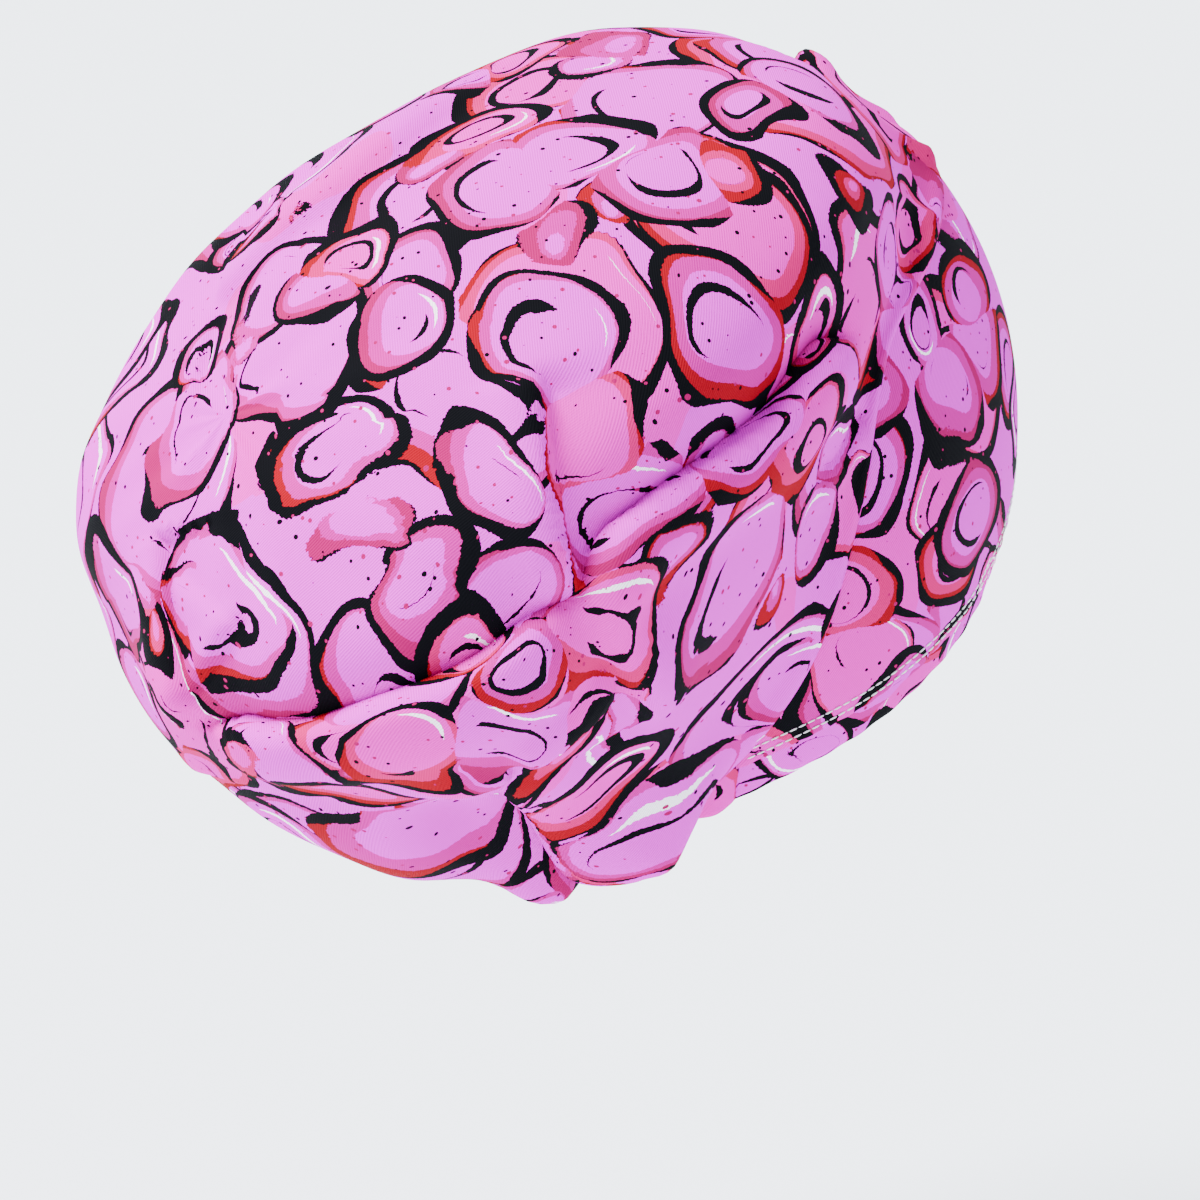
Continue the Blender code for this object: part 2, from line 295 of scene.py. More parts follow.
# Print: scales of its noises, and where they and the chances of the cells change the colour
INNER_WAVES = 42.0
INNER_FADE = (0.44, 0.56)
BEND_WAVES = 24.0
ROUGH_WAVES = 1300.0
LINE_WAVES = 48.0
LINE_FADE = (0.35, 0.65)
PATCH_WAVES = 16.0
WARM_PATCH = 0.56
WARM_CHANCE = 0.66
RED_CHANCE = 0.42
SPECK_CHANCE = 0.36
SPECK_SIZES = (0.10, 0.27)
INK_SPECK_CHANCE = 0.5
DARK_FADE = (-0.9, 0.5)
GLINT_FADE = (0.62, 0.95)

# Weave: pitch, wobble and its scale, slants of the ribs on the three planes, how sharply the
# planes part, painted shade in the grooves and painted light on the ribs, height, and slow change of
# tone
TWILL_PITCH = 0.00065
TWILL_WOBBLE = 0.00025
WOBBLE_WAVES = 260.0
TWILL_SLANTS = ((0.0, 0.83, 0.56), (0.83, 0.0, 0.56), (0.56, 0.83, 0.0))
PLANE_POWER = 6.0
TWILL_SHADE = (0.80, 1.08)
TWILL_HEIGHT = 0.00012
TONE_WAVES = 9.0
TONE_FADE = (0.3, 0.7)
TONE_SHADE = (0.95, 1.05)
FIBRE_WAVES = 5000.0
FIBRE_HEIGHT = 0.00005

# Colours
LILAC_PINK = (0.72, 0.001, 0.61, 1.0)
WARM_PINK = (0.70, 0.001, 0.42, 1.0)
CANDY_PINK = (0.46, 0.000, 0.24, 1.0)
HOT_PINK = (0.30, 0.000, 0.085, 1.0)
ROSE = (0.25, 0.000, 0.008, 1.0)
SALMON = (0.50, 0.001, 0.12, 1.0)
INK = (0.002, 0.002, 0.003, 1.0)
PAPER_WHITE = (0.97, 0.88, 0.97, 1.0)
THREAD_WHITE = (0.86, 0.84, 0.84, 1.0)
THREAD_SHADOW = (0.62, 0.58, 0.60, 1.0)
PALE_FLOOR = (0.88, 0.92, 0.97, 1.0)
PALE_ROOM = (0.80, 0.89, 1.0, 1.0)

# Layers of round motifs from the back to the front: size of the cells, shift of the layer
MOTIF_LAYERS = (
    (0.064, (0.21, 0.03, 0.47)),
    (0.052, (0.57, 0.33, 0.11)),
    (0.040, (0.93, 0.61, 0.29)),
)

# Cut sizes of the cloth, width and length
CROWN_CUT = (0.46, 0.42)
BAND_CUT = (0.48, 0.10)
STRIP_CUT = (0.41, 0.017)
CASING_CUT = (0.20, 0.030)

# Camera of the photograph: direction, distance, metres to a pixel of 1200 at the origin, and the
# point it is aimed at, to the right of and above the origin
CAMERA_AZIMUTH = math.radians(-130.0)
CAMERA_ELEVATION = math.radians(22.0)
CAMERA_DISTANCE = 1.10
PIXEL_SIZE = 0.00031
IMAGE_PIXELS = 1200
SENSOR = 36.0
AIM_RIGHT = -0.0375
AIM_UP = -0.0022

FLOOR_LEVEL = -0.285
FLOOR_SIZE = 30.0

# Lights: name, place to the right, up and back towards the camera, size, power, colour
SOFTBOXES = (
    ("fill", (1.2, 0.2, 1.3), 1.4, 5.0, (0.95, 0.97, 1.0)),
    ("side", (-1.4, -0.1, 0.8), 0.8, 6.0, (1.0, 0.99, 0.98)),
)
CEILING_PLACE = (-0.85, 1.4, 0.55)
CEILING_POWER = 12.5
CEILING_SPREAD = math.radians(30.0)
ROOM_POWER = 1.5

# Print of each piece: how far it is moved and how far it is turned
CROWN_PRINT = ((0.0, 0.0, 0.0), (0.0, 0.0, 0.0))
BAND_PRINT = ((0.31, 0.17, 0.43), (0.5, 0.9, 0.3))
STRIP_PRINT = ((0.83, 0.57, 0.13), (1.4, 0.2, 0.7))
CASING_PRINT = ((0.53, 0.77, 0.91), (0.2, 1.3, 0.4))


# Surfaces

def through(rows, column, at, flat_start=False, flat_end=False):
    """Smooth curve through one column of a table, read at the places in the first column."""
    places = np.array([row[0] for row in rows], dtype=float)
    values = np.array([row[column] for row in rows], dtype=float)
    slopes = np.gradient(values, places)
    if flat_start:
        slopes[0] = 0.0
    if flat_end:
        slopes[-1] = 0.0
    at = np.clip(at, places[0], places[-1])
    span = np.clip(np.searchsorted(places, at, side="right") - 1, 0, len(places) - 2)
    width = places[span + 1] - places[span]
    f = (at - places[span]) / width
    rise = (2 * f ** 3 - 3 * f ** 2 + 1) * values[span] + (3 * f ** 2 - 2 * f ** 3) * values[span + 1]
    bend = (f ** 3 - 2 * f ** 2 + f) * slopes[span] + (f ** 3 - f ** 2) * slopes[span + 1]
    return rise + bend * width


def fading(place, end):
    """1 at place 0, falling to 0 at place end."""
    return np.clip(1 - place / end, 0, 1)


def bell(distance, width):
    return np.exp(-(distance / width) ** 2)


def turn_between(angle, centre):
    return (angle - centre + 180.0) % 360.0 - 180.0


def mirrored(angle):
    """Angle from the forehead on either side, 0 to 180."""
    return np.abs(turn_between(angle, 0.0))


def vectors(x, y, z):
    return np.stack(np.broadcast_arrays(x, y, z), axis=-1)


AXIS_OUT = np.array([0.0, math.cos(LOOP_SLANT), math.sin(LOOP_SLANT)])
AXIS_UP = np.array([0.0, -math.sin(LOOP_SLANT), math.cos(LOOP_SLANT)])
LOOP_CENTRE = np.array([0.0, LOOP_BACK, LOOP_RISE])


def rim_point(angle):
    turn = np.radians(angle)
    level = FOREHEAD_LEVEL - NAPE_DROP * through(RIM_FALL, 1, mirrored(angle), True, True)
    return vectors(-HEAD_WIDTH / 2 * np.sin(turn), -HEAD_LENGTH / 2 * np.cos(turn), level)


def loop_lean(angle):
    return LOOP_HEIGHT * through(LOOP_LEAN, 1, mirrored(angle), True, True)


def slanted(side, up, out):
    """Point in the slanted frame of the seam loop."""
    return LOOP_CENTRE + up[..., None] * AXIS_UP + out[..., None] * AXIS_OUT + vectors(-side, 0.0, 0.0)


def loop_point(angle):
    turn = np.radians(angle)
    return slanted(LOOP_WIDTH / 2 * np.sin(turn), LOOP_HEIGHT / 2 * np.cos(turn), loop_lean(angle))


def outward(angle):
    turn = np.radians(angle)
    return vectors(-np.sin(turn), -np.cos(turn), 0.0)


def wall_point(angle, height, offset):
    """Point of the wall between the lower edge and the seam loop.

    height is the distance up from the lower edge, and offset the distance out from the wall.
    """
    low = rim_point(angle)
    high = loop_point(angle)
    span = np.linalg.norm(high - low, axis=-1)
    share = height / span
    rise = (high - low) / span[..., None]
    away = outward(angle)
    away = away - rise * np.sum(away * rise, axis=-1, keepdims=True)
    away = away / np.linalg.norm(away, axis=-1, keepdims=True)
    bow = BAND_BOW * np.clip(span / BOW_SPAN, 0, 1) ** 2 * 4 * share * (1 - share)
    return low + rise * height[..., None] + away * (bow + offset)[..., None]


def wall_height(angle):
    return np.linalg.norm(loop_point(angle) - rim_point(angle), axis=-1)


def signed_power(value, power):
    return np.sign(value) * np.abs(value) ** power


def crown_form(angle, station):
    """Crown without its folds."""
    turn = np.radians(angle)
    out = BAG_DEPTH * through(SECTIONS, 1, station, False, True)
    side = LOOP_WIDTH * through(SECTIONS, 2, station)
    top = LOOP_HEIGHT * through(SECTIONS, 3, station)
    bottom = LOOP_HEIGHT * through(SECTIONS, 4, station)
    power = 2 / (2 + (CORNER_POWER - 2) * np.clip(station / ROUND_END, 0, 1))
    up = (top - bottom) / 2 + (top + bottom) / 2 * signed_power(np.cos(turn), power)
    lean = loop_lean(angle) * fading(station, LEAN_END) ** 2
    free = slanted(side * signed_power(np.sin(turn), power), up, out + lean)
    edge = wall_point(angle, wall_height(angle) - TUCK, CROWN_OFFSET + 0 * station)
    hold = fading(station, SEAM_END)[..., None] ** 2
    return free + (edge - loop_point(angle)) * hold


def normals(angle, station):
    """Outward normals of the crown's form, by small steps along both of its directions."""
    station = np.clip(station, 0, 1 - 2 * STATION_STEP)
    before = np.maximum(station - STATION_STEP, 0)
    along = crown_form(angle + ANGLE_STEP, station) - crown_form(angle - ANGLE_STEP, station)
    away = crown_form(angle, station + STATION_STEP) - crown_form(angle, before)
    normal = np.cross(away, along)
    return normal / np.linalg.norm(normal, axis=-1, keepdims=True)


def path_points(path):
    """Angles and stations evenly spaced along a fold's path, with their shares of its length."""
    corners = np.array(path, dtype=float)
    corners[:, 0] = np.degrees(np.unwrap(np.radians(corners[:, 0])))
    steps = np.hypot(np.radians(np.diff(corners[:, 0])), np.diff(corners[:, 1]))
    places = np.concatenate(([0.0], np.cumsum(steps)))
    rows = [(place, corner[0], corner[1]) for place, corner in zip(places, corners)]
    at = np.linspace(0.0, places[-1], PATH_POINTS)
    return through(rows, 1, at), through(rows, 2, at), at / places[-1]


def fold_shift(points, fold):
    """Move of each point by one fold, and slide of its print over the cloth that the fold hides.

    Seen from outside, the lip stands on the left of the path and hangs over the drop on its right.
    """
    name, drop, lip, width, hang, path = fold
    width = width * BAG_DEPTH
    angles, stations, places = path_points(path)
    line = crown_form(angles, stations)
    normal = normals(angles, stations)
    tangent = np.gradient(line, axis=0)
    tangent /= np.linalg.norm(tangent, axis=-1, keepdims=True)
    across = np.cross(normal, tangent)
    shift = np.zeros_like(points)
    slide = np.zeros_like(points)
    near = np.linalg.norm(points - line.mean(axis=0), axis=-1)
    near = near < np.linalg.norm(line - line.mean(axis=0), axis=-1).max() + HIDDEN_REACH
    close = points[near]
    nearest = np.linalg.norm(close[:, None, :] - line[None, :, :], axis=-1).argmin(axis=1)
    offset = close - line[nearest]
    side = np.einsum("ij,ij->i", offset, across[nearest])
    past = np.sqrt(np.maximum(np.sum(offset ** 2, axis=-1) - side ** 2, 0.0))
    ends = np.clip(np.minimum(places[nearest], 1 - places[nearest]) / PATH_RISE, 0, 1)
    ends = ends * ends * (3 - 2 * ends) * bell(past, width)
    step = 0.5 - 0.5 * np.tanh(side / (2 * STEP_SOFTNESS * width))
    low = drop * step * np.exp(-np.maximum(-side, 0.0) / width)
    high = lip * bell(side - width * LIP_PLACE, width * LIP_SPREAD)
    over = hang * drop * bell(side - width * OVERHANG_PLACE, width * OVERHANG_SPREAD)
    shift[near] = normal[nearest] * (BAG_DEPTH * (high - low) * ends)[:, None]
    shift[near] -= across[nearest] * (BAG_DEPTH * over * ends)[:, None]
    hidden = HIDDEN_SHARE * drop * BAG_DEPTH / 2 * np.tanh(side / HIDDEN_STEP)
    hidden = hidden * bell(side, HIDDEN_FADE) * np.sin(math.pi * places[nearest])
    slide[near] = across[nearest] * hidden[:, None]
    return shift, slide


def crown_surface(angle, station):
    """Crown with its swells, folds, pleats, gathers and slow waves, and the slide of its print."""
    points = crown_form(angle, station)
    print_slide = np.zeros_like(points)
    normal = normals(angle, station)
    push = np.zeros(len(angle))
    for name, centre, place, height, spread, reach in SWELLS:
        push += height * bell(turn_between(angle, centre), spread) * bell(station - place, reach)
    for centre, length, height, half_width in PLEATS:
        across = np.radians(turn_between(angle, centre)) * LOOP_HEIGHT / 2
        skew = across / (half_width * BAG_DEPTH)
        rise = np.where(skew <= 0, np.clip(1 + skew, 0, 1) ** 2, bell(skew, PLEAT_CREST))
        push += height * rise * fading(station, length) ** PLEAT_FADE
    for centre, depth, half_width in GATHERS:
        width = half_width * (1 + GATHER_WIDENING * station)
        push -= depth * bell(turn_between(angle, centre), width) * bell(station, GATHER_REACH)
    push = push * BAG_DEPTH
    for round_waves, out_waves, phase, height in WAVES:
        turn = np.radians(angle) * round_waves
        push += height * np.sin(turn + phase) * np.sin(2 * math.pi * out_waves * station + 2 * phase)
    shift = normal * push[:, None]
    for fold in FOLDS:
        moved, slide = fold_shift(points, fold)
        shift = shift + moved
        print_slide = print_slide + slide
    free = np.clip(station / FOLD_START, 0, 1) * np.clip((1 - station) / POLE_REACH, 0, 1)
    roll = SEAM_ROLL * bell(station - SEAM_ROLL_PLACE, SEAM_ROLL_PLACE)
    return points + shift * free[:, None] + normal * roll[:, None], print_slide


def crown_place(round_share, out_share):
    angle = 360.0 * round_share + NAPE_CROWDING * np.sin(2 * math.pi * round_share)
    return crown_surface(angle, out_share)


def band_place(along, up):
    angle = BAND_END_ANGLE * (1 - 2 * along)
    height = STRIP_WIDTH + np.maximum(wall_height(angle) - STRIP_WIDTH, LEAST_BAND) * up
    length = np.radians(angle) * HEAD_LENGTH / 2
    above = height - STRIP_WIDTH
    waves = np.sin(length * 2 * math.pi / (PUCKER_STITCHES * STITCH_PITCH))
    pucker = PUCKER * waves * bell(above, PUCKER_FADE)
    for row in STITCH_ROWS:
        pucker = pucker - PUCKER * bell(above - row, GROOVE_HALF_WIDTH)
    return wall_point(angle, height, pucker), 0.0


def strip_place(along, up):
    angle = BAND_END_ANGLE * (1 - 2 * along)
    length = np.radians(angle) * HEAD_LENGTH / 2
    waves = np.sin(length * 2 * math.pi / (EDGE_PUCKER_STITCHES * STITCH_PITCH))
    ripple = PUCKER * waves * (1 - up)
    return wall_point(angle, (STRIP_WIDTH + TUCK) * up, ripple - STRIP_OFFSET), 0.0


def casing_place(along, up):
    start = BAND_END_ANGLE - CASING_TUCK_ANGLE
    angle = start + (360.0 - 2 * start) * (1 - along)
    ripple = CASING_RIPPLE * (np.sin(2 * math.pi * CASING_GATHERS * along) - 1) * (1 - up)
    past_band = (BAND_END_ANGLE + CASING_TUCK_ANGLE - mirrored(angle)) / (2 * CASING_TUCK_ANGLE)
    ripple = ripple - CASING_TUCK_DEPTH * np.clip(past_band, 0, 1)
    return wall_point(angle, wall_height(angle) * up, ripple), 0.0


# Pieces

def flat_area(shape):
    return sum(face.calc_area() for face in shape.faces)


def cloth(name, steps, place, wall, material):
    """Cloth wall from a flat grid.

    place gives the points for shares 0 to 1 along both sides, and how far the print slides there.
    """
    shape = bmesh.new()
    bmesh.ops.create_grid(shape, x_segments=steps[0], y_segments=steps[1], size=1.0)
    shares = np.array([(vertex.co.x, vertex.co.y) for vertex in shape.verts]) / 2 + 0.5
    points, slide = place(shares[:, 0], shares[:, 1])
    print_place = shape.verts.layers.float_vector.new(PRINT_PLACE)
    for vertex, point, on_print in zip(shape.verts, points, points + slide):
        vertex[print_place] = on_print
        vertex.co = point
    bmesh.ops.remove_doubles(shape, verts=shape.verts[:], dist=1e-6)
    area = flat_area(shape)
    before = [vertex.co.copy() for vertex in shape.verts]
    source = shape.verts.layers.int.new("source")
    for number, vertex in enumerate(shape.verts):
        vertex[source] = number
    bmesh.ops.solidify(shape, geom=shape.faces[:], thickness=-wall)
    for vertex in shape.verts:
        step = vertex.co - before[vertex[source]]
        if step.length > MOST_WALL * wall:
            vertex.co = before[vertex[source]] + step * (wall / step.length)
    shape.verts.layers.int.remove(source)
    mesh = bpy.data.meshes.new(name)
    shape.to_mesh(mesh)
    shape.free()
    mesh.materials.append(material)
    mesh.shade_smooth()
    item = bpy.data.objects.new(name, mesh)
    bpy.context.scene.collection.objects.link(item)
    return item, area


def stitches(name, material):
    """Two rows of thread along the band, one small bead for each stitch."""
    shape = bmesh.new()
    for row in STITCH_ROWS:
        fine = np.linspace(-BAND_END_ANGLE + 1, BAND_END_ANGLE - 1, 2000)
        line = wall_point(fine, STRIP_WIDTH + row + 0 * fine, STITCH_OUT + 0 * fine)
        lengths = np.concatenate(([0], np.cumsum(np.linalg.norm(np.diff(line, axis=0), axis=1))))
        count = int(lengths[-1] / STITCH_PITCH)
        for number in range(count):
            middle = (number + 0.5) * STITCH_PITCH
            place = [np.interp(middle, lengths, line[:, axis]) for axis in range(3)]
            ahead = [np.interp(middle + STITCH_PITCH / 4, lengths, line[:, axis]) for axis in range(3)]
            along = Vector(ahead) - Vector(place)
            size = Matrix.Diagonal((STITCH_THICKNESS, STITCH_THICKNESS, STITCH_LENGTH / 2, 1.0))
            turn = along.to_track_quat("Z", "Y").to_matrix().to_4x4()
            bmesh.ops.create_uvsphere(shape, u_segments=6, v_segments=5, radius=1.0,
                                      matrix=Matrix.Translation(place) @ turn @ size)
    mesh = bpy.data.meshes.new(name)
    shape.to_mesh(mesh)
    shape.free()
    mesh.materials.append(material)
    mesh.shade_smooth()
    item = bpy.data.objects.new(name, mesh)
    bpy.context.scene.collection.objects.link(item)
    return item


# Materials

class Tree:
    """Short calls for the nodes of one tree."""

    def __init__(self, tree):
        self.tree = tree

    def put(self, socket, value):
        if isinstance(value, bpy.types.NodeSocket):
            self.tree.links.new(value, socket)
        elif value is not None:
            socket.default_value = value

    def node(self, kind, **settings):
        made = self.tree.nodes.new(kind)
        for name, value in settings.items():
            setattr(made, name, value)
        return made

    def math(self, operation, first, second=None, third=None):
        made = self.node("ShaderNodeMath", operation=operation)
        for socket, value in zip(made.inputs, (first, second, third)):
            self.put(socket, value)
        return made.outputs[0]

    def vector(self, operation, first, second=None, scale=None):
        made = self.node("ShaderNodeVectorMath", operation=operation)
        self.put(made.inputs[0], first)
        self.put(made.inputs[1], second)
        self.put(made.inputs[3], scale)
        return made.outputs[1 if operation == "DOT_PRODUCT" else 0]

    def attribute(self, name):
        return self.node("ShaderNodeAttribute", attribute_name=name).outputs["Vector"]

    def shifted(self, vector, place, waves, reach):
        """Vector moved by a noise at the place, by half the reach at most along each axis."""
        noise = self.noise(place, waves, 1.0, "Color")
        move = self.vector("SUBTRACT", noise, (0.5, 0.5, 0.5))
        return self.vector("ADD", vector, self.vector("SCALE", move, scale=reach))

    def length(self, vector):
        made = self.node("ShaderNodeVectorMath", operation="LENGTH")
        self.put(made.inputs[0], vector)
        return made.outputs[1]

    def mix(self, share, first, second):
        made = self.node("ShaderNodeMix", data_type="RGBA", blend_type="MIX")
        self.put(made.inputs[0], share)
        self.put(made.inputs[6], first)
        self.put(made.inputs[7], second)
        return made.outputs[2]

    def noise(self, vector, scale, detail=2.0, output="Fac"):
        made = self.node("ShaderNodeTexNoise", noise_dimensions="3D")
        self.put(made.inputs["Vector"], vector)
        self.put(made.inputs["Scale"], scale)
        self.put(made.inputs["Detail"], detail)
        return made.outputs[output]

    def cells(self, vector, scale, feature, output, randomness=1.0):
        made = self.node("ShaderNodeTexVoronoi", voronoi_dimensions="3D", feature=feature)
        self.put(made.inputs["Vector"], vector)
        self.put(made.inputs["Scale"], scale)
        self.put(made.inputs["Randomness"], randomness)
        return made.outputs[output]

    def span(self, value, low, high, to_low, to_high):
        made = self.node("ShaderNodeMapRange", clamp=True)
        for socket, number in zip(made.inputs, (value, low, high, to_low, to_high)):
            self.put(socket, number)
        return made.outputs[0]


def new_group(name, inputs, outputs):
    group = bpy.data.node_groups.new(name, "ShaderNodeTree")
    for label, kind in inputs:
        group.interface.new_socket(label, in_out="INPUT", socket_type=kind)
    for label, kind in outputs:
        group.interface.new_socket(label, in_out="OUTPUT", socket_type=kind)
    tree = Tree(group)
    return group, tree, tree.node("NodeGroupInput"), tree.node("NodeGroupOutput")


def bubble_layer():
    """Group: one layer of round motifs, cut from balls of random size in space.

    The surface's direction keeps the lines even in width where it cuts a ball near its pole.
    """
    group, tree, given, out = new_group("bubble_layer", (
        ("Place", "NodeSocketVector"), ("Direction", "NodeSocketVector"), ("Size", "NodeSocketFloat"),
        ("Line", "NodeSocketFloat")), (
        ("Ink", "NodeSocketFloat"), ("Disc", "NodeSocketFloat"), ("Crescent", "NodeSocketFloat"),
        ("Halo", "NodeSocketFloat"), ("Glint", "NodeSocketFloat"), ("Chance", "NodeSocketFloat")))
    place, size, line = given.outputs["Place"], given.outputs["Size"], given.outputs["Line"]
    scale = tree.math("DIVIDE", 1.0, size)
    ball = tree.node("ShaderNodeTexVoronoi", voronoi_dimensions="3D", feature="F1")
    tree.put(ball.inputs["Vector"], place)
    tree.put(ball.inputs["Scale"], scale)
    ball.inputs["Randomness"].default_value = CELL_SCATTER
    chance = tree.node("ShaderNodeSeparateColor")
    tree.put(chance.inputs[0], ball.outputs["Color"])
    offset = tree.vector("SUBTRACT", place, ball.outputs["Position"])
    radius = tree.length(offset)
    direction = tree.vector("NORMALIZE", offset)
    facing = tree.vector("DOT_PRODUCT", direction, given.outputs["Direction"])
    across = tree.math("SUBTRACT", 1.0 + LEAST_SLOPE, tree.math("MULTIPLY", facing, facing))
    slope = tree.math("SQRT", across)
    reach = tree.math("MULTIPLY", size, tree.span(chance.outputs[0], 0.0, 1.0, *MOTIF_REACH))
    inside = tree.math("DIVIDE", tree.math("SUBTRACT", reach, radius), slope)
    border = tree.cells(place, scale, "DISTANCE_TO_EDGE", "Distance", CELL_SCATTER)
    taper = tree.span(border, *BORDER_FADE, 0.0, 1.0)
    taper = tree.math("MULTIPLY", taper, tree.span(slope, *SLOPE_FADE, 0.0, 1.0))
    half = tree.math("MULTIPLY", line, taper)
    ink = tree.math("LESS_THAN", tree.math("ABSOLUTE", inside), half)
    inner = tree.math("SUBTRACT", inside, tree.math("MULTIPLY", reach, INNER_PLACE))
    inner_chance = tree.span(tree.noise(place, INNER_WAVES, 0.0), *INNER_FADE, 0.0, INNER_SHARE)
    inner_half = tree.math("MULTIPLY", half, inner_chance)
    inner_ink = tree.math("LESS_THAN", tree.math("ABSOLUTE", inner), inner_half)
    lit = tree.vector("DOT_PRODUCT", direction, LIT_SIDE)
    dark = tree.span(lit, *DARK_FADE, 1.0, 0.0)
    crescent = tree.math("LESS_THAN", inside, tree.math("MULTIPLY", dark, CRESCENT_WIDTH))
    halo_width = tree.math("ADD", tree.math("MULTIPLY", dark, HALO_DARK_WIDTH), HALO_WIDTH)
    halo = tree.math("LESS_THAN", inside, halo_width)
    disc = tree.math("GREATER_THAN", inside, 0.0)
    glint = tree.math("ABSOLUTE", tree.math("SUBTRACT", inside, GLINT_PLACE))
    glint_half = tree.span(lit, *GLINT_FADE, GLINT_END, GLINT_HALF_WIDTH)
    glint = tree.math("LESS_THAN", glint, glint_half)
    made = {
        "Ink": tree.math("MAXIMUM", ink, tree.math("MULTIPLY", inner_ink, disc)),
        "Disc": disc,
        "Crescent": tree.math("MULTIPLY", crescent, disc),
        "Halo": tree.math("MULTIPLY", halo, disc),
        "Glint": tree.math("MULTIPLY", glint, disc),
        "Chance": chance.outputs[1],
    }
    for name, value in made.items():
        tree.put(out.inputs[name], value)
    return group


def bubble_print():
    """Group: overlapping round motifs with brush outlines, cel shading, glints and specks."""
    group, tree, given, out = new_group("bubble_print", (
        ("Place", "NodeSocketVector"), ("Direction", "NodeSocketVector")), (
        ("Colour", "NodeSocketColor"),))
    layer = bubble_layer()
    place, direction = given.outputs["Place"], given.outputs["Direction"]
    bent = tree.shifted(place, place, BEND_WAVES, BEND_REACH)
    inked = tree.shifted(bent, place, ROUGH_WAVES, INK_ROUGHNESS)
    thin = INK_HALF_WIDTH * LINE_SHARE
    line = tree.span(tree.noise(place, LINE_WAVES, 0.0), *LINE_FADE, thin, INK_HALF_WIDTH)
    patch = tree.math("GREATER_THAN", tree.noise(place, PATCH_WAVES, 1.0), WARM_PATCH)
    colour = tree.mix(patch, LILAC_PINK, WARM_PINK)
    for size, shift in MOTIF_LAYERS:
        round_motif = tree.node("ShaderNodeGroup")
        round_motif.node_tree = layer
        tree.put(round_motif.inputs["Place"], tree.vector("ADD", inked, shift))
        tree.put(round_motif.inputs["Direction"], direction)
        tree.put(round_motif.inputs["Size"], size)
        tree.put(round_motif.inputs["Line"], line)
        made = round_motif.outputs
        warm = tree.math("GREATER_THAN", made["Chance"], WARM_CHANCE)
        red = tree.math("GREATER_THAN", made["Chance"], RED_CHANCE)
        colour = tree.mix(made["Disc"], colour, tree.mix(warm, LILAC_PINK, WARM_PINK))
        colour = tree.mix(made["Halo"], colour, tree.mix(warm, CANDY_PINK, SALMON))
        colour = tree.mix(made["Crescent"], colour, tree.mix(red, HOT_PINK, ROSE))
        colour = tree.mix(made["Glint"], colour, PAPER_WHITE)
        colour = tree.mix(made["Ink"], colour, INK)
    speck_scale = 1 / SPECK_GRID
    speck = tree.cells(place, speck_scale, "F1", "Distance")
    chance = tree.node("ShaderNodeSeparateColor")
    tree.put(chance.inputs[0], tree.cells(place, speck_scale, "F1", "Color"))
    some = tree.math("LESS_THAN", chance.outputs[0], SPECK_CHANCE)
    speck = tree.math("LESS_THAN", speck, tree.span(chance.outputs[1], 0.0, 1.0, *SPECK_SIZES))
    speck = tree.math("MULTIPLY", speck, some)
    dark = tree.math("GREATER_THAN", chance.outputs[2], INK_SPECK_CHANCE)
    colour = tree.mix(speck, colour, tree.mix(dark, HOT_PINK, INK))
    tree.put(out.inputs["Colour"], colour)
    return group


def twill():
    """Group: diagonal ribs of the weave on the three planes, blended by the surface's direction."""
    group, tree, given, out = new_group("twill", (("Place", "NodeSocketVector"),), (
        ("Height", "NodeSocketFloat"), ("Shade", "NodeSocketFloat")))
    place = given.outputs["Place"]
    ribs = 2 * math.pi / TWILL_PITCH
    wobbled = tree.shifted(place, place, WOBBLE_WAVES, TWILL_WOBBLE)
    direction = tree.node("ShaderNodeNewGeometry").outputs["Normal"]
    parts = tree.node("ShaderNodeSeparateXYZ")
    tree.put(parts.inputs[0], tree.vector("ABSOLUTE", direction))
    total = None
    weights = None
    for socket, slant in zip(parts.outputs, TWILL_SLANTS):
        share = tree.math("POWER", socket, PLANE_POWER)
        wave = tree.math("SINE", tree.math("MULTIPLY", tree.vector("DOT_PRODUCT", wobbled, slant), ribs))
        part = tree.math("MULTIPLY", wave, share)
        total = part if total is None else tree.math("ADD", total, part)
        weights = share if weights is None else tree.math("ADD", weights, share)
    height = tree.math("DIVIDE", total, weights)
    tree.put(out.inputs["Height"], height)
    # Shade is painted light and shade: the colour darkens in the grooves and lightens on the ribs
    tree.put(out.inputs["Shade"], tree.span(height, -1.0, 1.0, *TWILL_SHADE))
    return group


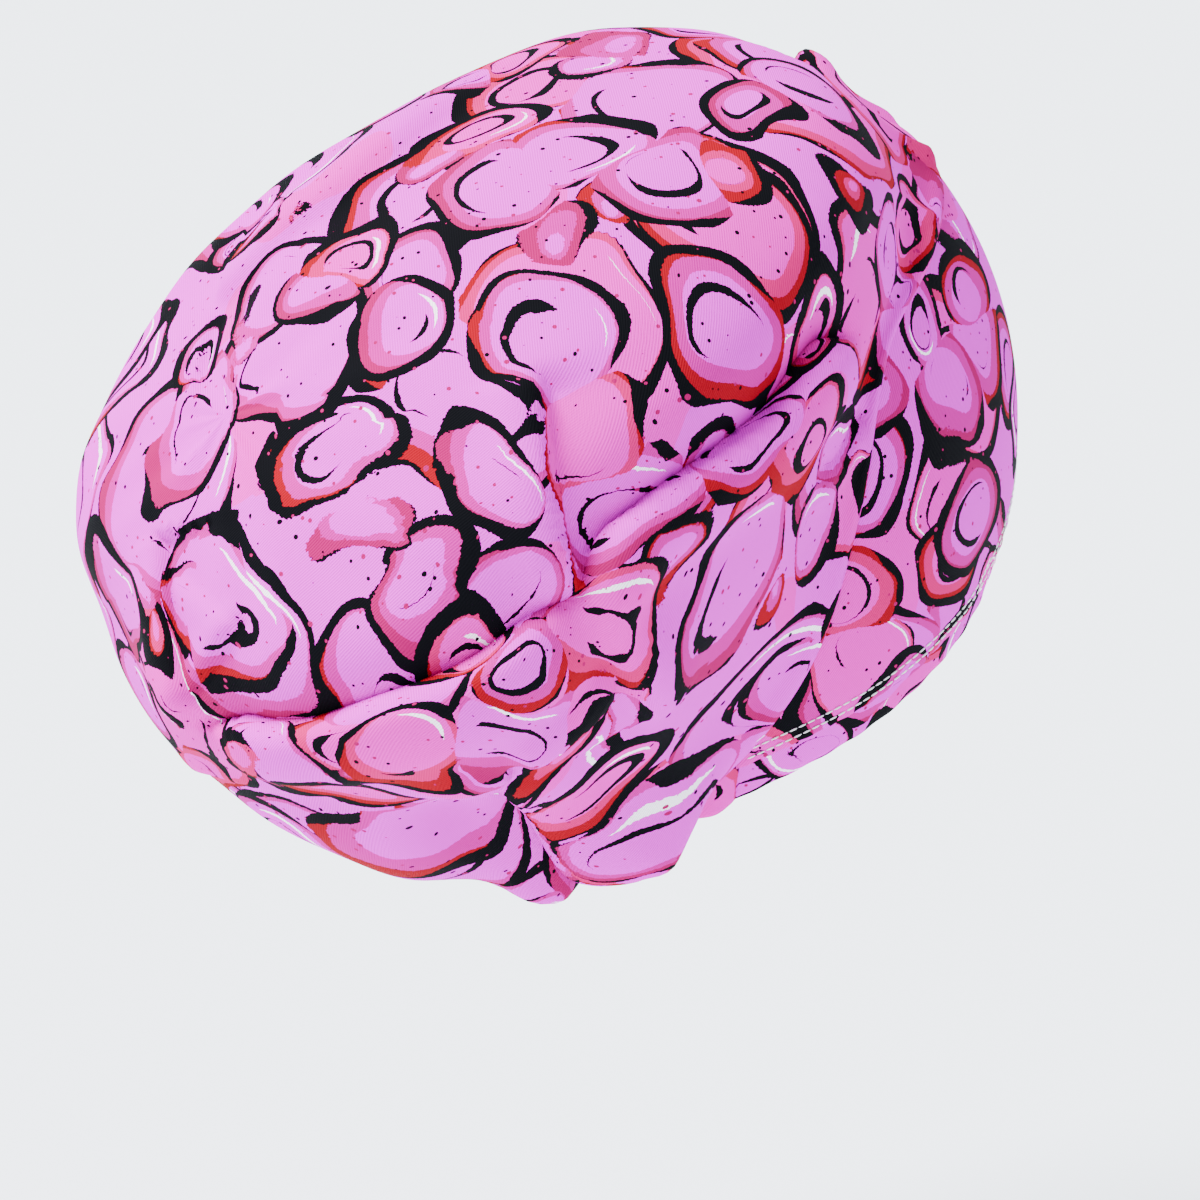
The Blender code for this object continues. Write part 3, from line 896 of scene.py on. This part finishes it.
def cloth_material(name, print_group, twill_group, shift, turn):
    """Printed cotton twill. shift and turn lay the print differently on each piece."""
    material = bpy.data.materials.new(name)
    material.use_nodes = True
    tree = Tree(material.node_tree)
    shader = material.node_tree.nodes["Principled BSDF"]
    shader.inputs["Roughness"].default_value = 0.82
    shader.inputs["Metallic"].default_value = 0.0
    shader.inputs["Specular IOR Level"].default_value = 0.03
    place = tree.node("ShaderNodeTexCoord").outputs["Object"]
    laid = tree.node("ShaderNodeMapping")
    tree.put(laid.inputs["Vector"], tree.attribute(PRINT_PLACE))
    laid.inputs["Location"].default_value = shift
    laid.inputs["Rotation"].default_value = turn
    motif = tree.node("ShaderNodeGroup")
    motif.node_tree = print_group
    tree.put(motif.inputs["Place"], laid.outputs["Vector"])
    facing = tree.node("ShaderNodeVectorRotate", rotation_type="EULER_XYZ")
    tree.put(facing.inputs["Vector"], tree.node("ShaderNodeNewGeometry").outputs["Normal"])
    facing.inputs["Rotation"].default_value = turn
    tree.put(motif.inputs["Direction"], facing.outputs["Vector"])
    weave = tree.node("ShaderNodeGroup")
    weave.node_tree = twill_group
    tree.put(weave.inputs["Place"], place)
    soft = tree.span(tree.noise(place, TONE_WAVES, 2.0), *TONE_FADE, *TONE_SHADE)
    # The weave's painted shade and painted light, with a slow random tone, scale the print's colour
    tone = tree.math("MULTIPLY", weave.outputs["Shade"], soft)
    colour = tree.vector("SCALE", motif.outputs["Colour"], scale=tone)
    tree.put(shader.inputs["Base Color"], colour)
    bump = tree.node("ShaderNodeBump")
    bump.inputs["Strength"].default_value = 0.35
    bump.inputs["Distance"].default_value = TWILL_HEIGHT
    tree.put(bump.inputs["Height"], weave.outputs["Height"])
    tree.put(shader.inputs["Normal"], bump.outputs["Normal"])
    return material


def thread_material():
    material = bpy.data.materials.new("white_thread")
    material.use_nodes = True
    tree = Tree(material.node_tree)
    shader = material.node_tree.nodes["Principled BSDF"]
    shader.inputs["Roughness"].default_value = 0.6
    shader.inputs["Sheen Weight"].default_value = 0.2
    place = tree.node("ShaderNodeTexCoord").outputs["Object"]
    fibres = tree.noise(place, FIBRE_WAVES, 1.0)
    tree.put(shader.inputs["Base Color"], tree.mix(fibres, THREAD_WHITE, THREAD_SHADOW))
    bump = tree.node("ShaderNodeBump")
    bump.inputs["Strength"].default_value = 0.3
    bump.inputs["Distance"].default_value = FIBRE_HEIGHT
    tree.put(bump.inputs["Height"], fibres)
    tree.put(shader.inputs["Normal"], bump.outputs["Normal"])
    return material


def floor_material():
    material = bpy.data.materials.new("pale_floor")
    material.use_nodes = True
    shader = material.node_tree.nodes["Principled BSDF"]
    shader.inputs["Base Color"].default_value = PALE_FLOOR
    shader.inputs["Roughness"].default_value = 0.7
    return material


# Studio

def camera_axes():
    turn, lift = CAMERA_AZIMUTH, CAMERA_ELEVATION
    back = Vector((math.sin(turn) * math.cos(lift), -math.cos(turn) * math.cos(lift), math.sin(lift)))
    right = Vector((math.cos(turn), math.sin(turn), 0.0))
    return right, back.cross(right), back


def set_up_camera():
    right, up, back = camera_axes()
    data = bpy.data.cameras.new("camera")
    data.sensor_width = SENSOR
    data.lens = SENSOR * CAMERA_DISTANCE / (PIXEL_SIZE * IMAGE_PIXELS)
    data.clip_start = 0.05
    data.clip_end = 50.0
    camera = bpy.data.objects.new("camera", data)
    axes = Matrix((right, up, back)).transposed()
    place = right * AIM_RIGHT + up * AIM_UP + back * CAMERA_DISTANCE
    camera.matrix_world = Matrix.Translation(place) @ axes.to_4x4()
    bpy.context.scene.collection.objects.link(camera)
    bpy.context.scene.camera = camera


def softbox(name, place, size, power, colour):
    data = bpy.data.lights.new(name, "AREA")
    data.shape = "SQUARE"
    data.size = size
    data.energy = power
    data.color = colour
    light = bpy.data.objects.new(name, data)
    light.location = place
    light.rotation_euler = (-Vector(place)).to_track_quat("-Z", "Y").to_euler()
    bpy.context.scene.collection.objects.link(light)


def seen_from_camera(place):
    """Point given by how far it is to the right, up and back towards the camera."""
    right, up, back = camera_axes()
    return right * place[0] + up * place[1] + back * place[2]


def set_up_studio():
    for name, place, size, power, colour in SOFTBOXES:
        softbox(name, seen_from_camera(place), size, power, colour)
    ceiling = bpy.data.lights.new("ceiling", "SUN")
    ceiling.energy = CEILING_POWER
    ceiling.angle = CEILING_SPREAD
    light = bpy.data.objects.new("ceiling", ceiling)
    towards = seen_from_camera(CEILING_PLACE)
    light.rotation_euler = (-towards).to_track_quat("-Z", "Y").to_euler()
    bpy.context.scene.collection.objects.link(light)
    world = bpy.data.worlds.new("pale_room")
    world.use_nodes = True
    background = world.node_tree.nodes["Background"]
    background.inputs["Color"].default_value = PALE_ROOM
    background.inputs["Strength"].default_value = ROOM_POWER
    bpy.context.scene.world = world
    shape = bmesh.new()
    bmesh.ops.create_grid(shape, x_segments=1, y_segments=1, size=FLOOR_SIZE / 2,
                          matrix=Matrix.Translation((0.0, 0.0, FLOOR_LEVEL)))
    mesh = bpy.data.meshes.new("floor")
    shape.to_mesh(mesh)
    shape.free()
    mesh.materials.append(floor_material())
    floor = bpy.data.objects.new("floor", mesh)
    bpy.context.scene.collection.objects.link(floor)


def main():
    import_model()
    set_up_camera()
    set_up_studio()
    motif, weave = bubble_print(), twill()
    crown_cloth = cloth_material("crown_cloth", motif, weave, *CROWN_PRINT)
    band_cloth = cloth_material("band_cloth", motif, weave, *BAND_PRINT)
    strip_cloth = cloth_material("strip_cloth", motif, weave, *STRIP_PRINT)
    casing_cloth = cloth_material("casing_cloth", motif, weave, *CASING_PRINT)
    pieces = (
        ("crown_cover", "crown", "printed_twill", CROWN_STEPS, crown_place, CLOTH_WALL,
         crown_cloth, CROWN_CUT, "gathered"),
        ("band_cover", "front_band", "printed_twill", BAND_STEPS, band_place, CLOTH_WALL,
         band_cloth, BAND_CUT, "stretched"),
        ("strip_cover", "brim_strip", "printed_strip", STRIP_STEPS, strip_place, CLOTH_WALL,
         strip_cloth, STRIP_CUT, "folded"),
        ("casing_cover", "nape_casing", "gathered_twill", CASING_STEPS, casing_place, CASING_WALL,
         casing_cloth, CASING_CUT, "gathered"),
    )
    for name, node, slot, steps, place, wall, material, cut, held in pieces:
        piece, area = cloth(name, steps, place, wall, material)
        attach(piece, BODY)
        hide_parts(node)
    thread = stitches("band_stitches", thread_material())
    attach(thread, BODY)


main()
